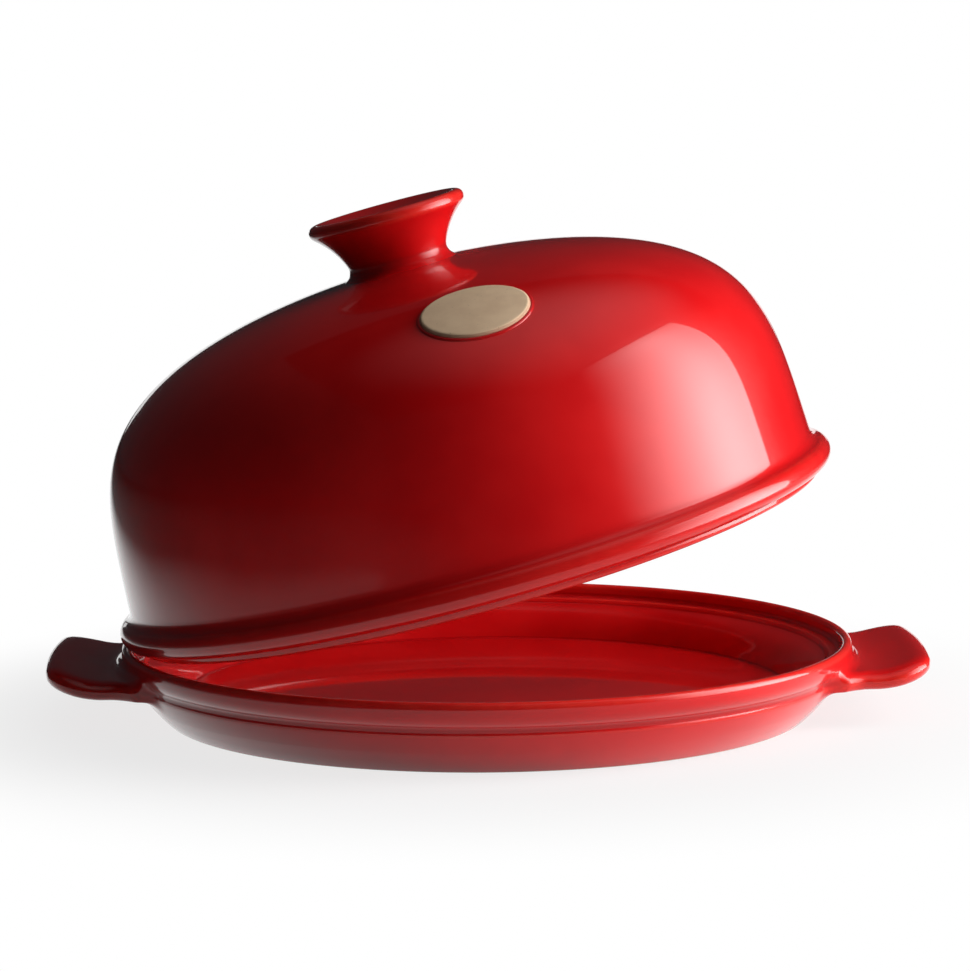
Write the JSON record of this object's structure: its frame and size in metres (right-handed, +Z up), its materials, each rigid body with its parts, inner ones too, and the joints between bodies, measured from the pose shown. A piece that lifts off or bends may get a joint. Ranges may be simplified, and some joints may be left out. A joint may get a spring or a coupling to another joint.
{
  "type": "bread cloche",
  "caption": "Round glazed ceramic bread cloche: shallow dish with ear handles under a tall domed lid with a trumpet-shaped knob, the lid raised at one side.",
  "frame": {"origin": "on the table under the middle of the dish", "axes": "+X towards the right ear, over which the lid is raised; +Y to the back; +Z up"},
  "size_m": [0.34, 0.2844, 0.2032],
  "materials": {
    "dish_glaze": "glossy",
    "lid_glaze": "glossy",
    "bare_clay": "matte"
  },
  "bodies": {
    "dish": {"base_dish": "dish_glaze"},
    "lid": {"dome_shell": "lid_glaze", "knob": "lid_glaze", "oval_medallion": "bare_clay"}
  },
  "joints": [
    {"name": "lid_tilt", "type": "hinge", "parent": "dish", "child": "lid", "pos_m": [-0.1373, 0, 0.03323], "axis": [0, -1, 0], "range_deg": [-14.6, 45]}
  ]
}
